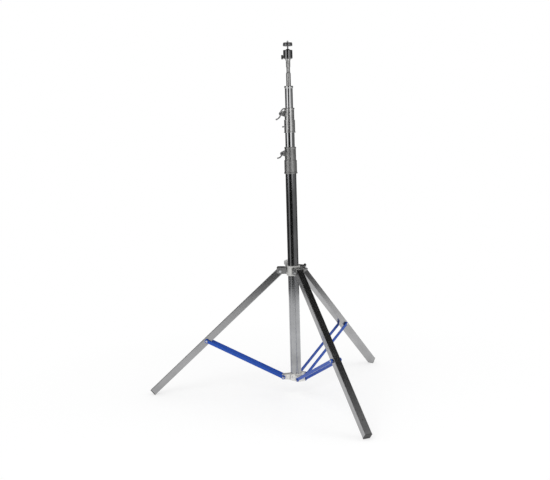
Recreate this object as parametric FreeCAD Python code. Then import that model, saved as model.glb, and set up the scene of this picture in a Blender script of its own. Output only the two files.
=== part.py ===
import FreeCAD, Part
import math
import os

from FreeCAD import Vector

# Telescoping lighting stand with a folding three-leg base and a small ball head.
# Units are millimetres. The origin is on the column's axis at floor level, +Z is up,
# and the front leg points along -Y.

# ---------------------------------------------------------------- driving dimensions
GAP = 0.3                    # side clearance between pieces that move on each other
RUN = 0.08                   # radial clearance of a running fit
SEAT = 0.05                  # radial clearance of pieces that are fixed together

# mast tubes: 1-3/4, 1-1/2 and 1-1/4 inch
WALL = 1.5
COLUMN_R = 44.45 / 2
RISER_1_R = 38.1 / 2
RISER_2_R = 31.75 / 2
COLUMN_Z = (69.0, 975.0)
RISER_1_Z = (150.0, 1145.0)
RISER_2_Z = (277.0, 1274.5)
BUSH_LENGTH = 60.0
BUSH_LIP = 4.0

# folding base, measured in the vertical plane of one leg
LEG_AZIMUTH = {"front": 0.0, "rear": 120.0, "left": -120.0}
LEG_SIZE = 28.6
LEG_WALL = 1.6
LEG_TILT = 47.1              # from the vertical
LEG_LENGTH = 765.8           # pivot to the square-cut foot
LEG_HEEL = 7.5               # tube above the pivot
HEEL_BEVEL = 7.0             # upper corner taken off under the bracket
LEG_PIVOT = (53.4, 531.6)    # radius, height
LEG_JOINT = 434.1            # leg pivot to brace joint
BASE_PIVOT = (51.9, 81.7)
LEG_BOLT_R = 4.0
BASE_BOLT_R = 3.0
FOOT_CAP = 34.0
FOOT_SKIN = 3.0              # rubber below the end of the tube

# brace: two flat bars that straddle the leg
BAR_HEIGHT = 12.7
BAR_THICK = 4.8
BAR_CENTRES = 38.0
EYE_R = 8.3                  # round ends of the bars
RIVET_HEAD_R = 5.0
RIVET_HEAD = 3.0

# clamp collars: heights run from bottom to top, "bolt" is the cross screw's radius and
# height, and "wing" gives the two tips of the lever, outward and up from that screw
LOWER_CLAMP = {"rise_r": RISER_1_R, "fixed_r": COLUMN_R, "upper_r": 22.9, "lower_r": 25.5,
               "flange_r": 27.1, "cap_r": 24.0, "z": (931.7, 938.2, 987.0, 1033.0, 1039.3),
               "bolt": (33.4, 1014.0),
               "wing": ((18.0, -17.5), (-7.0, 9.0))}
UPPER_CLAMP = {"rise_r": RISER_2_R, "fixed_r": RISER_1_R, "upper_r": 19.6, "lower_r": 22.0,
               "flange_r": 24.1, "cap_r": 21.2, "z": (1097.4, 1101.4, 1150.5, 1189.8, 1196.5),
               "bolt": (34.4, 1174.0),
               "wing": ((19.0, -23.0), (-14.0, 20.0))}
GROOVE = (1.4, 1.4)          # depth, height
LINER = 1.6
CLAMP_AZIMUTH = -114.3       # side of the column that the clamp lugs stand on
LUG_HALF = 10.0
LUG_ROOT = 13.0              # half height where a lug meets its sleeve
SLOT_HALF = 1.6
NOSE_R = 7.5
SCREW_R = 3.0
HUB_R = 8.0
ARM_THICK = 5.0
ARM_WIDTH = 5.6
ARM_BOW = 4.5
FIXING_SCREW_Z = 1121.0

# base collar
BASE_Z = (69.0, 98.0)
BASE_R = 27.0
PLUG_DEPTH = 12.0
BASE_LUG_HALF = 14.2
BASE_LUG_R = 9.5

# leg collar
COLLAR_Z = (512.0, 553.0)
COLLAR_R = 28.0
BRACKET_Z = (520.0, 547.0)
BRACKET_END = 67.0
BRACKET_SHEET = 2.5
BRACKET_HALF = LEG_SIZE / 2 + 1.4 + BRACKET_SHEET
KNOB_AZIMUTH = 180.0         # between the rear and the left leg
KNOB_RADIUS = 53.0
KNOB_R = 16.5
KNOB_Z = (550.3, 570.5)
KNOB_DOME = 24.0
SHELF_Z = (545.0, 550.0)
SHELF_HALF = 12.0
STUD_LOW = 536.0
LEVER_BALL_R = 5.8
LEVER_BALL = (-9.0, 19.0)    # ball of the leg lock lever, outward and up from the pivot

# ball head
SPIGOT_R = (9.45, 7.25, 8.75)
SPIGOT_Z = (1236.0, 1333.0, 1338.5, 1356.5, 1361.0, 1383.0)
CAP_R = 17.8
CAP_Z = (1272.4, 1284.0)
HEAD_BASE_Z = 1390.8
HOUSING_R = 18.7
HOUSING_Z = (1391.1, 1425.9)
BALL_R = 13.0
BALL_Z = 1418.0
NECK_R = 2.9
PLATE_R = 19.0
PLATE_Z = (1441.7, 1452.3, 1455.1)
STUD_R = 3.175
STUD_TOP = 1462.5
STUD_SHOULDER_R = 6.0
HEAD_KNOB_Z = 1398.5
HEAD_KNOB = (0.8, 8.2)       # gap to the housing, reach beyond it
LOBE_R = 3.9

Z_AXIS = Vector(0, 0, 1)
Y_AXIS = Vector(0, 1, 0)
X_AXIS = Vector(1, 0, 0)
CENTRE = Vector(0, 0, 0)


# ---------------------------------------------------------------- shape helpers
def save(node, *solids):
    """Write one node; several solids make a group."""
    shape = solids[0] if len(solids) == 1 else Part.makeCompound(list(solids))
    shape.exportStep("parts/%s.step" % node)


def turned(*profile):
    """Solid of revolution about the column's axis from (radius, height) points."""
    points = [Vector(r, 0, z) for r, z in profile]
    points.append(points[0])
    return Part.Face(Part.makePolygon(points)).revolve(CENTRE, Z_AXIS, 360)


def ring(inner, outer, low, high):
    return turned((inner, low), (outer, low), (outer, high), (inner, high))


def rod(radius, start, end):
    """Cylinder between two points."""
    start, end = Vector(*start), Vector(*end)
    return Part.makeCylinder(radius, (end - start).Length, start, end - start)


def block(low, high):
    size = [h - l for l, h in zip(low, high)]
    return Part.makeBox(*size, Vector(*low))


def plate(outline, low, high):
    """Flat plate drawn in the X-Z plane, between two Y values."""
    points = [Vector(x, low, z) for x, z in outline]
    points.append(points[0])
    return Part.Face(Part.makePolygon(points)).extrude(Vector(0, high - low, 0))


def hexagon(radius, start, length, direction):
    """Hexagonal prism along a local axis."""
    corners = [Vector(radius * math.cos(math.radians(60 * i)),
                      radius * math.sin(math.radians(60 * i)), 0) for i in range(7)]
    prism = Part.Face(Part.makePolygon(corners)).extrude(Vector(0, 0, length))
    prism.Placement = FreeCAD.Placement(Vector(*start), FreeCAD.Rotation(Z_AXIS, direction))
    return prism


def swing(shape, azimuth):
    """Turn a shape drawn with +X outward to an azimuth counted from -Y towards +X."""
    out = shape.copy()
    out.rotate(CENTRE, Z_AXIS, azimuth - 90)
    return out


def along(shape, pivot, angle):
    """Put a shape drawn along +X from the origin at a pivot, tipped down by an angle."""
    out = shape.copy()
    out.rotate(CENTRE, Y_AXIS, angle)
    out.translate(Vector(pivot[0], 0, pivot[1]))
    return out


# ---------------------------------------------------------------- mast
def mast():
    save("column_tube", ring(COLUMN_R - WALL, COLUMN_R, *COLUMN_Z))
    plug_r = COLUMN_R - WALL - SEAT
    low = COLUMN_Z[0]
    save("column_end_plug", turned((0, low - 2), (COLUMN_R - 1, low - 2), (COLUMN_R, low - SEAT),
                                   (plug_r, low - SEAT), (plug_r, low + PLUG_DEPTH), (0, low + PLUG_DEPTH)))
    for node, radius, span, outer in (("riser_1", RISER_1_R, RISER_1_Z, COLUMN_R),
                                      ("riser_2", RISER_2_R, RISER_2_Z, RISER_1_R)):
        save(node + "_tube", ring(radius - WALL, radius, *span))
        slide_r = outer - WALL - GAP
        foot = span[0] - BUSH_LIP
        bore_r = radius - WALL - 3
        save(node + "_guide_bush",
             turned((bore_r, foot), (slide_r, foot), (slide_r, span[0] - SEAT),
                    (radius - WALL - SEAT, span[0] - SEAT),
                    (radius - WALL - SEAT, span[0] + BUSH_LENGTH), (bore_r, span[0] + BUSH_LENGTH)))


def clamp(name, lever_name, dims):
    """Split clamp collar with its liner, lugs, cross screw, nut and wing lever."""
    bottom, flange, step, cap, top = dims["z"]
    bore = dims["rise_r"] + GAP
    lined = bore + LINER
    hold = dims["fixed_r"] + SEAT
    seat_z = step - 4
    depth, height = GROOVE
    body = turned((hold, bottom), (dims["flange_r"], bottom), (dims["flange_r"], flange - 1.5),
                  (dims["lower_r"], flange), (dims["lower_r"], step - height),
                  (dims["upper_r"] - depth, step - height), (dims["upper_r"] - depth, step),
                  (dims["upper_r"], step), (dims["upper_r"], cap), (dims["cap_r"], cap + 1),
                  (dims["cap_r"], top - 1), (dims["cap_r"] - 1, top), (bore, top),
                  (bore, cap), (lined, cap), (lined, seat_z), (hold, seat_z))
    x, z = dims["bolt"]
    root = dims["upper_r"] - 1.5
    outline = [(root, z - LUG_ROOT), (x, z - NOSE_R), (x, z + NOSE_R), (root, z + LUG_ROOT)]
    lug = plate(outline, -LUG_HALF, LUG_HALF).fuse(rod(NOSE_R, (x, -LUG_HALF, z), (x, LUG_HALF, z)))
    inside = Part.makeCylinder(root + 0.4, top - bottom, Vector(0, 0, bottom))
    body = body.fuse(lug.cut(inside))
    body = body.cut(block((bore - 1, -SLOT_HALF, step + 1), (x + NOSE_R + 1, SLOT_HALF, top + 1)))
    body = body.cut(rod(SCREW_R + RUN, (x, -LUG_HALF - 1, z), (x, LUG_HALF + 1, z)))
    save(name + "_collar", swing(body.removeSplitter(), CLAMP_AZIMUTH))
    save(name + "_liner", ring(bore, lined - SEAT, seat_z + SEAT, cap - SEAT))
    nut = hexagon(6.2, (x, -LUG_HALF - SEAT, z), 5.5, Vector(0, -1, 0))
    nut = nut.cut(rod(SCREW_R + RUN, (x, -LUG_HALF - 7, z), (x, -LUG_HALF + 1, z)))
    save(name + "_nut", swing(nut, CLAMP_AZIMUTH))
    wing_lever(lever_name, dims)


def arm(tip, low):
    """Curved lever arm from the hub's centre to a tip, bowed to the right of its direction."""
    reach = math.hypot(*tip)
    angle = math.degrees(math.atan2(tip[1], tip[0]))
    half = ARM_WIDTH / 2
    bow = min(ARM_BOW, reach / 5)
    bend = (reach * reach / 4 + bow * bow) / (2 * bow)
    spread = math.asin(reach / 2 / bend)

    def arc(radius, *turns):
        return [Vector(reach / 2 + radius * math.sin(turn), low, bend - bow - radius * math.cos(turn))
                for turn in turns]

    outer = arc(bend + half, -spread, 0, spread)
    inner = arc(bend - half, spread, 0, -spread)
    edges = [Part.Arc(*outer).toShape(), Part.LineSegment(outer[2], inner[0]).toShape(),
             Part.Arc(*inner).toShape(), Part.LineSegment(inner[2], outer[0]).toShape()]
    shape = Part.Face(Part.Wire(edges)).extrude(Vector(0, ARM_THICK, 0))
    shape = shape.fuse(rod(half, (reach, low, 0), (reach, low + ARM_THICK, 0)))
    shape.rotate(CENTRE, Y_AXIS, -angle)
    return shape


def wing_lever(name, dims):
    """Two-armed lever on the cross screw; its arms pass clear in front of the sleeve."""
    x, z = dims["bolt"]
    low = dims["cap_r"] + 1.6
    face = low + ARM_THICK + 1
    lever = rod(HUB_R, (0, LUG_HALF + GAP, 0), (0, face, 0))
    for tip in dims["wing"]:
        lever = lever.fuse(arm(tip, low))
    lever = lever.cut(rod(SCREW_R + SEAT, (0, LUG_HALF, 0), (0, face + 1, 0)))
    dish = rod(HUB_R - 1.6, (0, face - 1.2, 0), (0, face + 1, 0))
    lever = lever.cut(dish)
    lever.translate(Vector(x, 0, z))
    save(name, swing(lever.removeSplitter(), CLAMP_AZIMUTH))
    seat = face - 1.2 + SEAT
    screw = rod(SCREW_R, (x, -LUG_HALF - 7, z), (x, seat + 1, z))
    head = rod(SCREW_R + 1, (x, seat, z), (x, face + 1, z))
    save(name + "_screw", swing(screw.fuse(head), CLAMP_AZIMUTH))


def collar_screw():
    """Fixing screw in the upper clamp's lower sleeve."""
    z = FIXING_SCREW_Z
    r = UPPER_CLAMP["lower_r"]
    shank = rod(1.9, (r + SEAT, 0, z), (r + 3.5, 0, z))
    head = rod(3.6, (r + 3, 0, z), (r + 8, 0, z))
    save("upper_clamp_fixing_screw", swing(shank.fuse(head), CLAMP_AZIMUTH))


# ---------------------------------------------------------------- folding base
def base_collar():
    low, high = BASE_Z
    r, z = BASE_PIVOT
    body = turned((COLUMN_R + SEAT, low), (BASE_R - 1.5, low), (BASE_R, low + 1.5),
                  (BASE_R, high - 4), (BASE_R - 3, high), (COLUMN_R + SEAT, high))
    hole = rod(BASE_BOLT_R + SEAT, (r, -40, z), (r, 40, z))
    root = COLUMN_R + 2
    reach = BAR_CENTRES / 2 + BAR_THICK / 2 + GAP
    bolts = []
    for azimuth in LEG_AZIMUTH.values():
        outline = [(root, low + 1), (r, z - BASE_LUG_R), (r, z + BASE_LUG_R), (root, high - 4)]
        lug = plate(outline, -BASE_LUG_HALF, BASE_LUG_HALF)
        lug = lug.fuse(rod(BASE_LUG_R, (r, -BASE_LUG_HALF, z), (r, BASE_LUG_HALF, z)))
        lug = lug.cut(Part.makeCylinder(COLUMN_R + 1, high - low, Vector(0, 0, low)))
        body = body.fuse(swing(lug.cut(hole), azimuth)).cut(swing(hole, azimuth))
        bolts.append(swing(cross_bolt(r, z, reach, BASE_BOLT_R), azimuth))
    save("base_collar", body.removeSplitter())
    save("base_pivot_bolts", *bolts)
    screws = []
    for azimuth in LEG_AZIMUTH.values():
        height = (low + high) / 2
        socket = hexagon(1.6, (BASE_R + 2.2, 0, height), -1.6, X_AXIS)
        screw = rod(3.5, (BASE_R + SEAT, 0, height), (BASE_R + 2.2, 0, height)).cut(socket)
        screws.append(swing(screw, azimuth + 60))
    save("base_collar_screws", *screws)


def cross_bolt(r, z, half, bolt_r):
    """Bolt with a domed head on one side and a hexagonal nut on the other."""
    head_r = 1.75 * bolt_r
    shank = rod(bolt_r, (r, -half, z), (r, half, z))
    dome_r = 1.15 * head_r
    sunk = math.sqrt(dome_r * dome_r - head_r * head_r)
    dome = Part.makeSphere(dome_r, Vector(r, half - sunk, z))
    dome = dome.common(block((r - dome_r, half, z - dome_r), (r + dome_r, half + dome_r, z + dome_r)))
    nut = hexagon(1.85 * bolt_r, (r, -half, z), 1.3 * bolt_r, Vector(0, -1, 0))
    return shank.fuse(dome).fuse(nut)


def leg(name, azimuth):
    half = LEG_SIZE / 2
    tilt = 90 - LEG_TILT
    core = half - LEG_WALL
    tube = block((-LEG_HEEL, -half, -half), (LEG_LENGTH - FOOT_SKIN, half, half))
    tube = tube.makeFillet(2.2, [e for e in tube.Edges if abs(e.tangentAt(0).x) > 0.9])
    tube = tube.cut(block((-LEG_HEEL - 1, -core, -core), (LEG_LENGTH, core, core)))
    corner = [(-LEG_HEEL, half - HEEL_BEVEL), (-LEG_HEEL, half), (HEEL_BEVEL - LEG_HEEL, half)]
    tube = tube.cut(plate(corner, -half, half))
    bush_r = LEG_BOLT_R + 2.5
    tube = tube.cut(rod(bush_r + SEAT, (0, -half - 1, 0), (0, half + 1, 0)))
    tube = tube.cut(rod(LEG_BOLT_R, (LEG_JOINT, -half - 1, 0), (LEG_JOINT, half + 1, 0)))
    tube = tube.cut(rod(2.2, (LEG_LENGTH - 62, 0, 0), (LEG_LENGTH - 62, 0, half + 1)))
    save(name + "_leg_tube", swing(along(tube, LEG_PIVOT, tilt), azimuth))
    bush = rod(bush_r, (0, -half - 0.6, 0), (0, half + 0.6, 0))
    bush = bush.cut(rod(LEG_BOLT_R + RUN, (0, -half - 1, 0), (0, half + 1, 0)))
    save(name + "_leg_bush", swing(along(bush, LEG_PIVOT, tilt), azimuth))
    plug = core - SEAT
    cap = block((LEG_LENGTH - FOOT_SKIN + SEAT, -half, -half), (LEG_LENGTH, half, half))
    cap = cap.makeFillet(1.4, [e for e in cap.Edges if abs(e.tangentAt(0).x) > 0.9])
    cap = cap.fuse(block((LEG_LENGTH - FOOT_CAP, -plug, -plug), (LEG_LENGTH - 2, plug, plug)))
    save(name + "_foot_cap", swing(along(cap, LEG_PIVOT, tilt), azimuth))


def brace(name, azimuth):
    """Pair of bars from the base collar to the leg, with their outer rivets and washers."""
    joint_r = LEG_PIVOT[0] + LEG_JOINT * math.sin(math.radians(LEG_TILT))
    joint_z = LEG_PIVOT[1] - LEG_JOINT * math.cos(math.radians(LEG_TILT))
    run, rise = joint_r - BASE_PIVOT[0], joint_z - BASE_PIVOT[1]
    length = math.hypot(run, rise)
    angle = -math.degrees(math.atan2(rise, run))
    half = BAR_HEIGHT / 2
    fasteners = []
    for side, sign in (("near", -1), ("far", 1)):
        middle = sign * BAR_CENTRES / 2
        low, high = middle - BAR_THICK / 2, middle + BAR_THICK / 2
        bar = block((0, low, -half), (length, high, half))
        for x in (0, length):
            bar = bar.fuse(rod(EYE_R, (x, low, 0), (x, high, 0)))
        bar = bar.removeSplitter()
        bar = bar.makeFillet(0.8, [e for e in bar.Edges if abs(e.CenterOfMass.y - middle) > 2])
        bar = bar.cut(rod(BASE_BOLT_R + RUN, (0, low - 1, 0), (0, high + 1, 0)))
        bar = bar.cut(rod(SCREW_R + SEAT, (length, low - 1, 0), (length, high + 1, 0)))
        save("%s_brace_bar_%s" % (name, side), swing(along(bar, BASE_PIVOT, angle), azimuth))
        inner = sign * (LEG_SIZE / 2 + GAP)
        face, outer = middle - sign * BAR_THICK / 2, middle + sign * BAR_THICK / 2
        washer = rod(RIVET_HEAD_R + 0.6, (length, inner, 0), (length, face - sign * SEAT, 0))
        head_end = outer + sign * RIVET_HEAD
        pin = rod(SCREW_R, (length, inner, 0), (length, outer + sign, 0))
        head = rod(RIVET_HEAD_R, (length, outer + sign * SEAT, 0), (length, head_end, 0))
        head = head.makeFillet(1.6, [e for e in head.Edges if abs(e.CenterOfMass.y - head_end) < 0.1])
        fasteners.append(pin.fuse(washer).fuse(head))
    fasteners = [swing(along(f, BASE_PIVOT, angle), azimuth) for f in fasteners]
    save(name + "_brace_rivets", *fasteners)


# ---------------------------------------------------------------- leg collar
def leg_collar():
    low, high = COLLAR_Z
    bore = COLUMN_R + GAP + LINER
    save("leg_collar_ring", turned((bore, low), (COLLAR_R - 1, low), (COLLAR_R, low + 1),
                                   (COLLAR_R, high - 2), (COLLAR_R - 2, high), (bore, high)))
    save("leg_collar_liner", ring(COLUMN_R + GAP, bore - SEAT, low + 1, high - 1))
    r, z = LEG_PIVOT
    bolts = []
    for name, azimuth in LEG_AZIMUTH.items():
        save("leg_bracket_" + name, swing(leg_bracket(r, z), azimuth))
        bolts.append(swing(cross_bolt(r, z, BRACKET_HALF + SEAT, LEG_BOLT_R), azimuth))
    save("leg_pivot_bolts", *bolts)


def leg_bracket(r, z):
    """Channel that is open below and holds the top of one leg."""
    low, high = BRACKET_Z
    start = COLLAR_R - 1
    inner = BRACKET_HALF - BRACKET_SHEET
    side = [(start, low), (BRACKET_END - 4, low), (BRACKET_END, low + 6), (BRACKET_END, high),
            (start, high)]
    shell = plate(side, -BRACKET_HALF, BRACKET_HALF)
    long_edges = [e for e in shell.Edges if e.CenterOfMass.z > high - 0.1
                  and abs(e.tangentAt(e.FirstParameter).x) > 0.9]
    shell = shell.makeFillet(1.8, long_edges)
    shell = shell.cut(block((start - 1, -inner, low - 1), (BRACKET_END + 1, inner, high - BRACKET_SHEET)))
    shell = shell.cut(rod(LEG_BOLT_R + SEAT, (r, -30, z), (r, 30, z)))
    return shell.cut(Part.makeCylinder(COLLAR_R + SEAT, 100, Vector(0, 0, low - 20)))


def collar_lock():
    """Ribbed knob on an upright stud that draws a wedge against the column."""
    low, high = KNOB_Z
    x = KNOB_RADIUS
    under, shelf_top = SHELF_Z
    shelf = block((COLLAR_R - 1, -SHELF_HALF, under), (x, SHELF_HALF, shelf_top))
    shelf = shelf.fuse(Part.makeCylinder(SHELF_HALF, shelf_top - under, Vector(x, 0, under)))
    shelf = shelf.cut(Part.makeCylinder(COLLAR_R + SEAT, shelf_top, CENTRE))
    shelf = shelf.cut(Part.makeCylinder(SCREW_R + RUN, shelf_top, Vector(x, 0, 0)))
    save("lock_shelf", swing(shelf, KNOB_AZIMUTH))
    dome = Part.makeSphere(KNOB_DOME, Vector(x, 0, high - KNOB_DOME))
    knob = Part.makeCylinder(KNOB_R, high - low, Vector(x, 0, low)).common(dome)
    ribs = 18
    for i in range(ribs):
        angle = 2 * math.pi * i / ribs
        spot = Vector(x + (KNOB_R + 0.7) * math.cos(angle), (KNOB_R + 0.7) * math.sin(angle), low - 1)
        knob = knob.cut(Part.makeCylinder(1.7, high - low + 2, spot))
    stud = Part.makeCylinder(SCREW_R, low + 8 - STUD_LOW, Vector(x, 0, STUD_LOW))
    save("lock_knob", swing(knob.cut(stud), KNOB_AZIMUTH))
    foot = Part.makeCylinder(2 * SCREW_R, 4, Vector(x, 0, STUD_LOW))
    save("lock_stud", swing(stud.fuse(foot), KNOB_AZIMUTH))


def leg_lock_lever():
    """Ball-ended lever on the near end of the rear leg's pivot bolt."""
    r, z = LEG_PIVOT
    near = -(BRACKET_HALF + 6.4)
    hub = rod(5.5, (r, near, z), (r, near - 7, z))
    foot = Vector(r, near - 3.5, z)
    centre = foot + Vector(LEVER_BALL[0], 0, LEVER_BALL[1])
    stem = Part.makeCone(2.6, 1.9, (centre - foot).Length, foot, centre - foot)
    ball = Part.makeSphere(LEVER_BALL_R, centre)
    save("leg_lock_lever", swing(hub.fuse(stem).cut(ball), LEG_AZIMUTH["rear"]))
    save("leg_lock_ball", swing(ball, LEG_AZIMUTH["rear"]))


# ---------------------------------------------------------------- ball head
def spigot():
    base, step, waist, top_waist, upper, top = SPIGOT_Z
    big, small, tip = SPIGOT_R
    save("spigot_adapter", turned((0, base), (big, base), (big, step), (small, waist),
                                  (small, top_waist), (tip, upper), (tip, top - 1),
                                  (tip - 1, top), (0, top)))
    low, high = CAP_Z
    inner = RISER_2_R - WALL - SEAT
    bore = big + SEAT
    rim = RISER_2_Z[1]
    save("riser_2_top_cap", turned((bore, low - 36), (inner, low - 36), (inner, rim + SEAT),
                                   (RISER_2_R, rim + SEAT), (CAP_R, rim + 2.5), (CAP_R, high - 1),
                                   (CAP_R - 1.2, high), (bore, high)))


def ball_head():
    low = SPIGOT_Z[-1]
    save("head_base", turned((0, low + SEAT), (9.6, low + SEAT), (10.4, HEAD_BASE_Z), (5, HEAD_BASE_Z),
                             (5, HEAD_BASE_Z + 5), (0, HEAD_BASE_Z + 5)))
    bottom, top = HOUSING_Z
    body = turned((5 + RUN, bottom), (HOUSING_R - 3, bottom), (HOUSING_R, bottom + 2.5),
                  (HOUSING_R, top - 1.5), (HOUSING_R - 1.5, top), (0, top), (0, bottom + 5.2),
                  (5 + RUN, bottom + 5.2))
    centre = Vector(0, 0, BALL_Z)
    body = body.cut(Part.makeSphere(BALL_R + GAP, centre))
    body = body.cut(Part.makeCone(10.2, 15.4, 6.1, Vector(0, 0, top - 6)))
    seat_top = BALL_Z - 4
    seat_low = BALL_Z - BALL_R - 2
    body = body.cut(Part.makeCylinder(11.5, seat_top - seat_low, Vector(0, 0, seat_low)))
    notch = block((0, -4.6, BALL_Z), (HOUSING_R + 1, 4.6, top + 1))
    notch = notch.fuse(rod(4.6, (0, 0, BALL_Z), (HOUSING_R + 1, 0, BALL_Z)))
    back = CLAMP_AZIMUTH - 90
    body = body.cut(swing(notch, back))
    screw_hole = rod(SCREW_R + RUN, (12.5, 0, HEAD_KNOB_Z), (HOUSING_R + 1, 0, HEAD_KNOB_Z))
    body = body.cut(swing(screw_hole, CLAMP_AZIMUTH))
    save("head_housing", body)
    seat = Part.makeCylinder(11.5 - SEAT, seat_top - seat_low - SEAT, Vector(0, 0, seat_low + SEAT))
    save("ball_seat", seat.cut(Part.makeSphere(BALL_R + GAP, centre)))
    neck = Part.makeCylinder(NECK_R, PLATE_Z[0] - BALL_Z, centre)
    save("head_ball", Part.makeSphere(BALL_R, centre).fuse(neck))
    head_plate()
    head_knob()


def head_plate():
    low, middle, top = PLATE_Z
    rim = 1.2
    disc = turned((0, low + SEAT), (PLATE_R - rim, low + SEAT), (PLATE_R, low + rim), (PLATE_R, middle - rim),
                  (PLATE_R - rim, middle), (0, middle))
    ribs = 24
    for i in range(ribs):
        angle = 2 * math.pi * i / ribs
        spot = Vector((PLATE_R + 0.8) * math.cos(angle), (PLATE_R + 0.8) * math.sin(angle), low - 1)
        disc = disc.cut(Part.makeCylinder(1.4, middle - low + 2, spot))
    save("camera_plate", disc)
    save("plate_pad", ring(STUD_SHOULDER_R + SEAT, PLATE_R - rim, middle + SEAT, top))
    save("camera_stud", turned((0, middle + SEAT), (STUD_SHOULDER_R, middle + SEAT), (STUD_SHOULDER_R, top),
                               (STUD_R, top), (STUD_R, STUD_TOP - 0.8), (STUD_R - 0.8, STUD_TOP),
                               (0, STUD_TOP)))


def head_knob():
    """Two-lobed lock knob and its screw on the housing's clamp side."""
    z = HEAD_KNOB_Z
    start, end = (HOUSING_R + offset for offset in HEAD_KNOB)
    knob = rod(LOBE_R, (start, 0, z), (end, 0, z))
    for side in (-1, 1):
        lobe_z = z + 1.2 * LOBE_R * side
        knob = knob.fuse(rod(LOBE_R, (start, 0, lobe_z), (end, 0, lobe_z)))
    save("head_lock_knob", swing(knob.removeSplitter(), CLAMP_AZIMUTH))
    save("head_lock_screw", swing(rod(SCREW_R, (13, 0, z), (start - SEAT, 0, z)), CLAMP_AZIMUTH))


# ---------------------------------------------------------------- build
os.makedirs("parts", exist_ok=True)
mast()
clamp("lower_clamp", "lower_lever", LOWER_CLAMP)
clamp("upper_clamp", "upper_lever", UPPER_CLAMP)
collar_screw()
base_collar()
for leg_name, leg_azimuth in LEG_AZIMUTH.items():
    leg(leg_name, leg_azimuth)
    brace(leg_name, leg_azimuth)
leg_collar()
collar_lock()
leg_lock_lever()
spigot()
ball_head()
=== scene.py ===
import math

import bpy
from mathutils import Matrix, Vector


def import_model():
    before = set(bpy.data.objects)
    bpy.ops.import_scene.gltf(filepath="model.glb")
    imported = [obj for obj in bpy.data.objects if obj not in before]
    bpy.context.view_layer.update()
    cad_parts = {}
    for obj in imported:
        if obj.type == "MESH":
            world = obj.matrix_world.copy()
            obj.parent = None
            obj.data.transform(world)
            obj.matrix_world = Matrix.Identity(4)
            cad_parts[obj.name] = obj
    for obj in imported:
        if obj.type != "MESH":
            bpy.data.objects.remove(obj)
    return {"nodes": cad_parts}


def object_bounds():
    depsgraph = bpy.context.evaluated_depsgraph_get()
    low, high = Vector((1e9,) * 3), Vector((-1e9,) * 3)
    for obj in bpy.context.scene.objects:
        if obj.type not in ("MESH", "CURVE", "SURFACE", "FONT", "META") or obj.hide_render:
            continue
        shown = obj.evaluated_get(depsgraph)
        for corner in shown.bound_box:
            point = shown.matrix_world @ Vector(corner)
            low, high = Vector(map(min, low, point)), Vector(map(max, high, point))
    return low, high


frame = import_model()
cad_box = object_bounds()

# Finish, light and camera for the lighting stand. Metres, +Z up, front leg along -Y.
# Colours are linear, as the shader sockets take them.

NODES = frame["nodes"]
LEG_AZIMUTHS = {"front": 0.0, "rear": 120.0, "left": -120.0}    # degrees from -Y towards +X
LEG_TILT = 47.1              # degrees from upright

# camera: place and aim relative to the mast
CAMERA_AZIMUTH = -24.27      # degrees from -Y towards +X
CAMERA_DISTANCE = 3.798
CAMERA_HEIGHT = 1.158
CAMERA_PITCH = 7.47
CAMERA_YAW = -1.09
CAMERA_ROLL = -1.60
CAMERA_LENS = 60.94
SENSOR = 36.0

# light: a softbox is its place, the side of its square and its power
KEY = ((-2.6, -2.4, 3.2), 2.4, 55.0)
FILL = ((2.8, -1.6, 2.6), 2.0, 22.0)
LIGHT_AIM = (0, 0, 0.5)
WORLD_FILL = 0.80

# floor
FLOOR_RADIUS = 3.4
FLOOR_CORNERS = 96
FLOOR_GREY = 0.97
FLOOR_FADE = (0.10, 0.42)    # shares of the radius between which the floor turns white
FLOOR_CENTRE_WHITE = 0.55    # how white it already is inside the first of them

# studio cards stand round the object in three tiers, and the pale room shows in the gaps
# between them. A tier is its height and its cards: (from, to) in degrees from the camera's
# side towards its right, and the card's radiance. The back cards are in every tier
CARD_RING = 2.2
CARD_STEP = 4.0              # degrees between the corners of a card
BACK_CARDS = (((-192, -168), 0.06), ((-168, -140), 0.14), ((118, 140), 0.06), ((140, 168), 0.30))
LOW_CARDS = (((-140, -68), 0.045), ((-68, -42), 0.36), ((-42, 14), 0.015), ((14, 26), 0.10),
             ((26, 98), 0.25), ((98, 118), 0.10))
MIDDLE_CARDS = (((-140, -78), 0.05), ((-48, -36), 0.20), ((-36, 10), 0.012), ((46, 118), 0.14))
HIGH_CARDS = (((-140, -92), 0.10), ((-92, -66), 0.16), ((-28, 10), 0.008), ((42, 76), 0.42),
              ((76, 118), 0.13))
CARD_TIERS = (((0.01, 0.81), LOW_CARDS), ((0.81, 1.17), MIDDLE_CARDS), ((1.17, 3.40), HIGH_CARDS))
CEILING_HEIGHT = 3.40
CEILING_RADIANCE = 0.03
CEILING_STEP = 12

# finish: noise scales are in cells per metre, depths and edge radii in metres
NOISE_ROUGHNESS = 0.6
EDGE_SAMPLES = 4
DRAW_SCALE = 14.0            # lines left in metal by drawing or turning
DRAW_DEPTH = 0.000007
TARNISH_SCALE = 9.0
SPECK_SCALE = 160.0
SPECK_STRENGTH = 0.20
METAL_EDGE = 0.0009
CAST_GRAIN_SCALE = 420.0
CAST_GRAIN_DEPTH = 0.00015
CAST_PATCH_SCALE = 24.0
CAST_EDGE = 0.0010
CAST_METALLIC = 0.50
# painted shade: how far the ambient occlusion reaches when it darkens the casting's corners and
# recesses
PAINTED_SHADE_REACH = 0.008
RUBBED_ALLOY = (0.86, 0.85, 0.82)
PEEL_SCALE = 260.0
PEEL_DEPTH = 0.00012
PAINT_FADE_SCALE = 16.0
PAINT_EDGE = 0.0009
SCUFF_SCALE = 60.0
SCUFF_STRENGTH = 0.06
PAINT_ROUGHNESS = 0.24
DUST_SCALE = 32.0
DUST_STRENGTH = 0.22
MOULDED_EDGE = 0.0008


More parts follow.
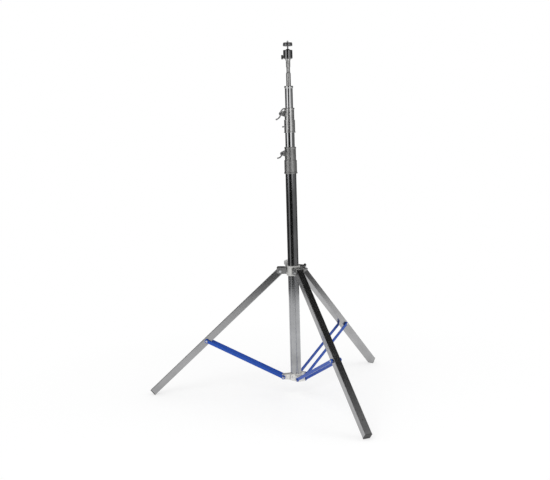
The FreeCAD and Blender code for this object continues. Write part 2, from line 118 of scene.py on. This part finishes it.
# ---------------------------------------------------------------- node helpers
class Graph:
    """A small wrapper that makes and joins shader nodes."""

    def __init__(self, tree):
        self.tree = tree
        tree.nodes.clear()

    def add(self, kind, **settings):
        node = self.tree.nodes.new("ShaderNode" + kind)
        for key, value in settings.items():
            setattr(node, key, value)
        return node

    def join(self, source, target):
        self.tree.links.new(source, target)

    def put(self, socket, value):
        """Link a socket, or set a constant on it."""
        if isinstance(value, bpy.types.NodeSocket):
            self.join(value, socket)
        else:
            socket.default_value = value

    def math(self, operation, *values):
        node = self.add("Math", operation=operation)
        for socket, value in zip(node.inputs, values):
            self.put(socket, value)
        return node.outputs[0]

    def ramp(self, factor, *stops):
        """Piecewise map of a factor; stops are (position, grey)."""
        node = self.add("ValToRGB")
        self.put(node.inputs[0], factor)
        elements = node.color_ramp.elements
        for element, (place, grey) in zip(elements, stops):
            element.position = place
            element.color = (grey, grey, grey, 1.0)
        return node.outputs[0]

    def noise(self, scale, stretch=(1, 1, 1), detail=4.0, turn=(0, 0, 0)):
        """Noise in the object's own frame, turned first and then stretched."""
        coords = self.add("TexCoord")
        turned = self.add("Mapping")
        turned.inputs["Rotation"].default_value = turn
        stretched = self.add("Mapping")
        stretched.inputs["Scale"].default_value = stretch
        self.join(coords.outputs["Object"], turned.inputs["Vector"])
        self.join(turned.outputs["Vector"], stretched.inputs["Vector"])
        node = self.add("TexNoise")
        node.inputs["Scale"].default_value = scale
        node.inputs["Detail"].default_value = detail
        node.inputs["Roughness"].default_value = NOISE_ROUGHNESS
        self.join(stretched.outputs["Vector"], node.inputs["Vector"])
        return node.outputs["Fac"]

    def mix(self, factor, a, b):
        """Blend two colours; a constant is given as red, green and blue."""
        node = self.add("Mix", data_type="RGBA")
        self.put(node.inputs["Factor"], factor)
        for socket, value in ((node.inputs[6], a), (node.inputs[7], b)):
            self.put(socket, (*value, 1.0) if isinstance(value, tuple) else value)
        return node.outputs[2]

    def bump(self, height, strength, distance):
        node = self.add("Bump")
        node.inputs["Strength"].default_value = strength
        node.inputs["Distance"].default_value = distance
        self.join(height, node.inputs["Height"])
        return node.outputs["Normal"]

    def edges(self, radius, noise):
        """1 along worn edges, broken up by a noise, 0 elsewhere."""
        bevel = self.add("Bevel", samples=EDGE_SAMPLES)
        bevel.inputs["Radius"].default_value = radius
        geometry = self.add("NewGeometry")
        dot = self.add("VectorMath", operation="DOT_PRODUCT")
        self.join(bevel.outputs["Normal"], dot.inputs[0])
        self.join(geometry.outputs["Normal"], dot.inputs[1])
        rounded = self.ramp(dot.outputs["Value"], (0.80, 1.0), (0.985, 0.0))
        return self.math("MULTIPLY", rounded, self.ramp(noise, (0.42, 0.0), (0.62, 1.0)))


def surface(name):
    """New material with a Principled shader; returns material, graph and shader."""
    material = bpy.data.materials.new(name)
    material.use_nodes = True
    graph = Graph(material.node_tree)
    shader = graph.add("BsdfPrincipled")
    output = graph.add("OutputMaterial")
    graph.join(shader.outputs[0], output.inputs[0])
    return material, graph, shader


def darker(color, share):
    return tuple(c * share for c in color)


def paler(color, factor, offset):
    return tuple(min(1.0, c * factor + offset) for c in color)


# ---------------------------------------------------------------- materials
def metal(name, color, roughness, grain=(30, 30, 1.2), turn=(0, 0, 0), dull=0.72, spread=0.10,
          wear=0.0):
    """Plated or polished metal: draw lines, cloudy tarnish, small specks and worn edges."""
    material, g, shader = surface(name)
    lines = g.noise(DRAW_SCALE, stretch=grain, detail=5.0, turn=turn)
    clouds = g.noise(TARNISH_SCALE, detail=3.0, turn=turn)
    specks = g.ramp(g.noise(SPECK_SCALE, detail=2.0), (0.66, 0.0), (0.74, 1.0))
    base = g.mix(g.ramp(clouds, (0.34, 0.0), (0.68, 1.0)), darker(color, dull), color)
    base = g.mix(g.math("MULTIPLY", specks, SPECK_STRENGTH), base, darker(color, 0.35))
    if wear:
        chips = g.edges(METAL_EDGE, g.noise(70.0, detail=3.0))
        base = g.mix(g.math("MULTIPLY", chips, wear), base, paler(color, 1.35, 0.0))
    g.join(base, shader.inputs["Base Color"])
    shader.inputs["Metallic"].default_value = 1.0
    rough = g.math("MULTIPLY_ADD", lines, spread, roughness - spread / 2)
    smear = g.math("MULTIPLY", g.ramp(clouds, (0.5, 0.0), (0.75, 1.0)), spread)
    g.join(g.math("ADD", rough, smear), shader.inputs["Roughness"])
    g.join(g.bump(lines, 0.35, DRAW_DEPTH), shader.inputs["Normal"])
    return material


def casting(name, color, roughness):
    """Pale cast alloy: fine grain, painted shade darkening the corners from ambient occlusion,
    bright rubbed edges.
    """
    material, g, shader = surface(name)
    grain = g.noise(CAST_GRAIN_SCALE, detail=3.0)
    patches = g.noise(CAST_PATCH_SCALE)
    # painted shade: ambient occlusion darkens the colour in corners and recesses, standing in for
    # the shade that falls there
    painted_shade = g.add("AmbientOcclusion", samples=4, only_local=False)
    painted_shade.inputs["Distance"].default_value = PAINTED_SHADE_REACH
    base = g.mix(g.ramp(patches, (0.35, 0.0), (0.7, 1.0)), darker(color, 0.92), color)
    base = g.mix(g.ramp(painted_shade.outputs["AO"], (0.25, 0.40), (0.85, 0.0)), base, darker(color, 0.30))
    base = g.mix(g.edges(CAST_EDGE, patches), base, RUBBED_ALLOY)
    g.join(base, shader.inputs["Base Color"])
    shader.inputs["Metallic"].default_value = CAST_METALLIC
    g.join(g.math("MULTIPLY_ADD", patches, 0.20, roughness - 0.10), shader.inputs["Roughness"])
    g.join(g.bump(grain, 0.20, CAST_GRAIN_DEPTH), shader.inputs["Normal"])
    return material


def gloss_paint(name, color, chip_color, chip_amount):
    """Sprayed gloss paint: orange peel, faint fading, chips along the edges."""
    material, g, shader = surface(name)
    peel = g.noise(PEEL_SCALE, detail=2.0)
    fade = g.noise(PAINT_FADE_SCALE)
    chips = g.math("MULTIPLY", g.edges(PAINT_EDGE, g.noise(95.0)), chip_amount)
    scuffs = g.ramp(g.noise(SCUFF_SCALE, stretch=(1, 1, 7), detail=5.0), (0.60, 0.0), (0.70, 1.0))
    base = g.mix(g.ramp(fade, (0.3, 0.0), (0.7, 1.0)), darker(color, 0.82), color)
    base = g.mix(g.math("MULTIPLY", scuffs, SCUFF_STRENGTH), base, paler(color, 2, 0.04))
    base = g.mix(chips, base, chip_color)
    g.join(base, shader.inputs["Base Color"])
    g.join(chips, shader.inputs["Metallic"])
    g.join(g.math("MULTIPLY_ADD", scuffs, 0.20, PAINT_ROUGHNESS), shader.inputs["Roughness"])
    shader.inputs["Specular IOR Level"].default_value = 0.20
    shader.inputs["Coat Weight"].default_value = 0.12
    shader.inputs["Coat Roughness"].default_value = 0.12
    g.join(g.bump(peel, 0.22, PEEL_DEPTH), shader.inputs["Normal"])
    return material


def moulding(name, color, roughness, grain_scale=700.0, depth=0.00012):
    """Moulded plastic or rubber: fine grain, grey dust, polished edges."""
    material, g, shader = surface(name)
    grain = g.noise(grain_scale, detail=2.0)
    dust = g.noise(DUST_SCALE, detail=5.0)
    dusty = g.math("MULTIPLY", g.ramp(dust, (0.45, 0.0), (0.75, 1.0)), DUST_STRENGTH)
    base = g.mix(dusty, color, paler(color, 1, 0.10))
    base = g.mix(g.math("MULTIPLY", g.edges(MOULDED_EDGE, dust), 0.25), base, paler(color, 1, 0.14))
    g.join(base, shader.inputs["Base Color"])
    g.join(g.math("MULTIPLY_ADD", dust, 0.25, roughness - 0.12), shader.inputs["Roughness"])
    g.join(g.bump(grain, 0.35, depth), shader.inputs["Normal"])
    return material


def paint(material, *names):
    for name in names:
        mesh = NODES[name].data
        mesh.materials.clear()
        mesh.materials.append(material)


# ---------------------------------------------------------------- finish of each sub-part
def finish_mast():
    paint(metal("chrome_column", (0.44, 0.445, 0.455), 0.14, spread=0.05), "column_tube")
    paint(metal("chrome_riser", (0.80, 0.805, 0.81), 0.09, spread=0.03), "riser_1_tube",
          "riser_2_tube", "riser_2_top_cap")
    turned = {"grain": (2, 2, 30), "spread": 0.04}
    paint(metal("turned_spigot", (0.62, 0.62, 0.61), 0.30, dull=0.90, **turned), "spigot_adapter")
    paint(metal("bright_turned", (0.92, 0.92, 0.91), 0.30, dull=0.92, **turned), "head_base")


def finish_clamps():
    paint(metal("bright_collar", (0.92, 0.92, 0.91), 0.28, grain=(2, 2, 60), wear=0.5),
          "upper_clamp_collar")
    paint(metal("dull_collar", (0.62, 0.62, 0.61), 0.42, grain=(2, 2, 60), wear=0.5),
          "lower_clamp_collar")
    paint(metal("wing_lever", (0.76, 0.76, 0.76), 0.42, grain=(6, 6, 6), dull=0.85, wear=0.6),
          "lower_lever", "upper_lever")


def finish_collars():
    paint(casting("pale_casting", (0.80, 0.79, 0.76), 0.42), "base_collar")
    paint(casting("collar_casting", (0.74, 0.74, 0.72), 0.34), "leg_collar_ring")
    paint(metal("sheet_steel", (0.47, 0.47, 0.465), 0.36, grain=(6, 6, 6), spread=0.06, dull=0.88,
                wear=0.5), "lock_shelf", *["leg_bracket_" + leg for leg in LEG_AZIMUTHS])
    paint(moulding("knob_plastic", (0.44, 0.44, 0.43), 0.42), "lock_knob")


def finish_fasteners():
    zinc = metal("zinc", (0.74, 0.75, 0.76), 0.28, grain=(8, 8, 8), wear=0.6)
    paint(zinc, "base_collar_screws", "base_pivot_bolts", "leg_pivot_bolts")
    paint(zinc, "lower_clamp_nut", "upper_clamp_nut", "lower_lever_screw", "upper_lever_screw")
    paint(zinc, "upper_clamp_fixing_screw", "lock_stud", "leg_lock_lever")
    paint(zinc, "camera_stud", "head_lock_screw")
    paint(zinc, *[leg + "_brace_rivets" for leg in LEG_AZIMUTHS])


def finish_legs():
    for leg, azimuth in LEG_AZIMUTHS.items():
        # the draw lines follow the tube: first undo its azimuth, then its tilt
        upright = Matrix.Rotation(math.radians(LEG_TILT), 4, "X")
        ahead = Matrix.Rotation(-math.radians(azimuth), 4, "Z")
        turn = tuple((upright @ ahead).to_euler("XYZ"))
        paint(metal(leg + "_leg_chrome", (0.42, 0.42, 0.425), 0.20, turn=turn, dull=0.80),
              leg + "_leg_tube")


def finish_braces():
    blue = gloss_paint("brace_blue", (0.012, 0.072, 0.40), (0.45, 0.45, 0.47), 0.55)
    for leg in LEG_AZIMUTHS:
        paint(blue, leg + "_brace_bar_near", leg + "_brace_bar_far")


def finish_head():
    paint(metal("black_chrome", (0.28, 0.28, 0.285), 0.13, spread=0.06, wear=0.4), "head_housing",
          "head_ball", "camera_plate")


def finish_plastics():
    paint(moulding("black_plastic", (0.012, 0.012, 0.012), 0.38), "head_lock_knob", "leg_lock_ball")
    paint(moulding("pad_rubber", (0.020, 0.020, 0.020), 0.75, 300.0, 0.0003), "plate_pad")
    paint(moulding("foot_rubber", (0.045, 0.045, 0.045), 0.65, 340.0, 0.0003),
          *[leg + "_foot_cap" for leg in LEG_AZIMUTHS])
    nylon = moulding("nylon", (0.62, 0.62, 0.58), 0.45)
    paint(nylon, "column_end_plug", "riser_1_guide_bush", "riser_2_guide_bush", "ball_seat")
    paint(nylon, "lower_clamp_liner", "upper_clamp_liner", "leg_collar_liner")
    paint(nylon, *[leg + "_leg_bush" for leg in LEG_AZIMUTHS])


# ---------------------------------------------------------------- stage
def shown_rays(g):
    """1 for camera, glossy and transmission rays, 0 for the rays that light a surface."""
    path = g.add("LightPath")
    direct = g.math("MAXIMUM", path.outputs["Is Camera Ray"], path.outputs["Is Glossy Ray"])
    return g.math("MAXIMUM", direct, path.outputs["Is Transmission Ray"])


def emission(g, radiance):
    glow = g.add("Emission")
    glow.inputs["Color"].default_value = (radiance, radiance, radiance, 1.0)
    return glow


def floor():
    """Round pale floor, whose rim fades into the white behind it."""
    bpy.ops.mesh.primitive_circle_add(vertices=FLOOR_CORNERS, radius=FLOOR_RADIUS, fill_type="NGON",
                                      location=(0, 0, cad_box[0][2]))
    disc = bpy.context.object
    disc.name = "floor"
    material = bpy.data.materials.new("floor_pale")
    material.use_nodes = True
    g = Graph(material.node_tree)
    coords = g.add("TexCoord")
    length = g.add("VectorMath", operation="LENGTH")
    g.join(coords.outputs["Object"], length.inputs[0])
    reach = g.math("DIVIDE", length.outputs["Value"], FLOOR_RADIUS)
    fade = g.ramp(reach, (FLOOR_FADE[0], FLOOR_CENTRE_WHITE), (FLOOR_FADE[1], 1.0))
    plain = g.add("BsdfDiffuse")
    plain.inputs["Color"].default_value = (FLOOR_GREY, FLOOR_GREY, FLOOR_GREY, 1.0)
    mixed = g.add("MixShader")
    g.join(g.math("MULTIPLY", fade, shown_rays(g)), mixed.inputs[0])
    g.join(plain.outputs[0], mixed.inputs[1])
    g.join(emission(g, 1.0).outputs[0], mixed.inputs[2])
    output = g.add("OutputMaterial")
    g.join(mixed.outputs[0], output.inputs[0])
    disc.data.materials.append(material)


def world():
    """White for camera, glossy and transmission rays, and an even fill for the others."""
    sky = bpy.data.worlds.new("studio")
    bpy.context.scene.world = sky
    sky.use_nodes = True
    g = Graph(sky.node_tree)
    color = g.mix(shown_rays(g), (WORLD_FILL, WORLD_FILL, WORLD_FILL), (1.0, 1.0, 1.0))
    background = g.add("Background")
    g.join(color, background.inputs["Color"])
    output = g.add("OutputWorld")
    g.join(background.outputs[0], output.inputs[0])


def card(name, corners, faces, radiance):
    """One grey studio card; only reflections show it, and it casts no shadow."""
    mesh = bpy.data.meshes.new(name)
    mesh.from_pydata(corners, [], faces)
    material = bpy.data.materials.new(name)
    material.use_nodes = True
    g = Graph(material.node_tree)
    output = g.add("OutputMaterial")
    g.join(emission(g, radiance).outputs[0], output.inputs[0])
    mesh.materials.append(material)
    sheet = bpy.data.objects.new(name, mesh)
    bpy.context.scene.collection.objects.link(sheet)
    sheet.visible_camera = False
    sheet.visible_diffuse = False
    sheet.visible_transmission = False
    sheet.visible_volume_scatter = False
    sheet.visible_shadow = False


def ring_point(angle, height):
    """A point on the ring of cards, so many degrees round from the camera's side."""
    turn = math.radians(CAMERA_AZIMUTH - 90 + angle)
    return (CARD_RING * math.cos(turn), CARD_RING * math.sin(turn), cad_box[0][2] + height)


def cards():
    """Tiers of curved cards round the object, and a dark ceiling over them."""
    for tier, (heights, row) in enumerate(CARD_TIERS):
        for number, ((start, end), radiance) in enumerate(row + BACK_CARDS):
            steps = math.ceil((end - start) / CARD_STEP)
            angles = [start + (end - start) * i / steps for i in range(steps + 1)]
            corners = [ring_point(angle, height) for height in heights for angle in angles]
            faces = [(i, i + 1, i + steps + 2, i + steps + 1) for i in range(steps)]
            card("card_%d_%d" % (tier, number), corners, faces, radiance)
    rim = [ring_point(angle, CEILING_HEIGHT) for angle in range(0, 360, CEILING_STEP)]
    card("ceiling_card", rim, [tuple(range(len(rim)))], CEILING_RADIANCE)


def softbox(name, place, size, power):
    """Square area light aimed at the middle of the stand; reflections don't show it."""
    light = bpy.data.lights.new(name, "AREA")
    light.shape = "SQUARE"
    light.size = size
    light.energy = power
    lamp = bpy.data.objects.new(name, light)
    bpy.context.scene.collection.objects.link(lamp)
    lamp.location = place
    aim = Vector(LIGHT_AIM) - Vector(place)
    lamp.rotation_euler = aim.to_track_quat("-Z", "Y").to_euler()
    lamp.visible_glossy = False


def camera():
    """Camera at the viewing angle, with its small roll."""
    yaw, pitch, roll = (math.radians(a) for a in (CAMERA_YAW, CAMERA_PITCH, CAMERA_ROLL))
    forward = Vector((math.sin(yaw) * math.cos(pitch), math.cos(yaw) * math.cos(pitch),
                      -math.sin(pitch)))
    right = Vector((math.cos(yaw), -math.sin(yaw), 0))
    up = right.cross(forward)
    rolled_right = math.cos(roll) * right + math.sin(roll) * up
    rolled_up = -math.sin(roll) * right + math.cos(roll) * up
    axes = Matrix((rolled_right, rolled_up, -forward)).transposed().to_4x4()
    axes.translation = Vector((0, -CAMERA_DISTANCE, CAMERA_HEIGHT))
    data = bpy.data.cameras.new("camera")
    data.lens = CAMERA_LENS
    data.sensor_width = SENSOR
    view = bpy.data.objects.new("camera", data)
    bpy.context.scene.collection.objects.link(view)
    view.matrix_world = Matrix.Rotation(math.radians(CAMERA_AZIMUTH), 4, "Z") @ axes
    bpy.context.scene.camera = view


# ---------------------------------------------------------------- build
finish_mast()
finish_clamps()
finish_collars()
finish_fasteners()
finish_legs()
finish_braces()
finish_head()
finish_plastics()
floor()
world()
cards()
softbox("key", *KEY)
softbox("fill", *FILL)
camera()
bpy.context.scene.view_settings.view_transform = "Standard"
